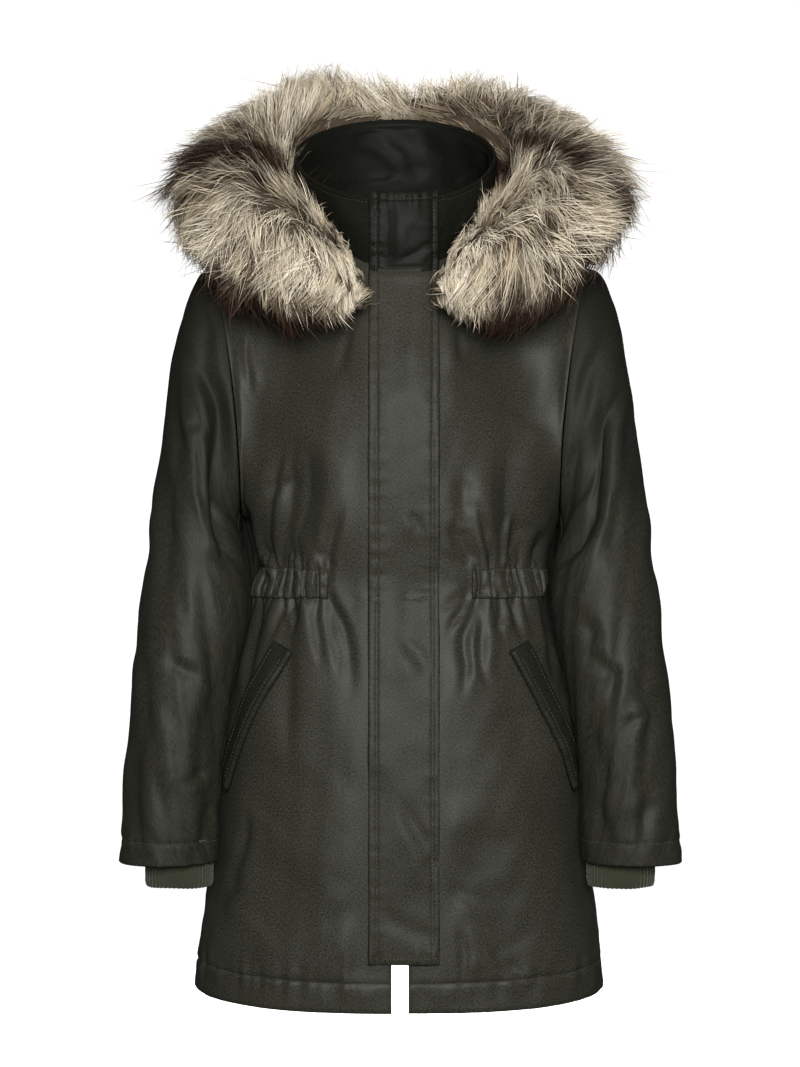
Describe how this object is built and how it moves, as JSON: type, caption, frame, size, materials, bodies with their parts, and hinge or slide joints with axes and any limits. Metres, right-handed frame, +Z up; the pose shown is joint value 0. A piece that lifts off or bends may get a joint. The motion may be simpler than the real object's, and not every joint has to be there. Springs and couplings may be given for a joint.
{
  "type": "fur trimmed parka",
  "caption": "Women's thigh-length hooded winter coat, filled out as if worn but empty: funnel collar, storm placket, elastic waist, rib cuffs, hood lying back with a wide faux-fur trim",
  "frame": {"origin": "between the neck ends of the two shoulder seams, where the wearer's shoulders carry the coat", "axes": "+Z up, from hem to collar; the front faces -Y; +X is the wearer's left"},
  "size_m": [0.5812, 0.4286, 1.0086],
  "materials": {
    "shell_fabric": "dark olive woven polyester with a soft satin sheen",
    "rib_knit": "matt olive rib knit",
    "faux_fur": "long cream pile with brown tips",
    "zip": "matt black woven tape"
  },
  "bodies": {
    "root": {"back_left": "shell_fabric", "back_right": "shell_fabric", "front_left": "shell_fabric", "front_right": "shell_fabric", "top_sleeve_left": "shell_fabric", "top_sleeve_right": "shell_fabric", "under_sleeve_left": "shell_fabric", "under_sleeve_right": "shell_fabric", "rib_cuff_left": "rib_knit", "rib_cuff_right": "rib_knit", "collar": "shell_fabric", "front_placket": "shell_fabric", "zip": "zip", "elastic_left": "shell_fabric", "elastic_right": "shell_fabric", "elastic_back": "shell_fabric", "pocket_welt_left": "shell_fabric", "pocket_welt_right": "shell_fabric", "hood_left": "shell_fabric", "hood_centre": "shell_fabric", "hood_right": "shell_fabric", "fur_trim": "faux_fur"}
  },
  "joints": []
}
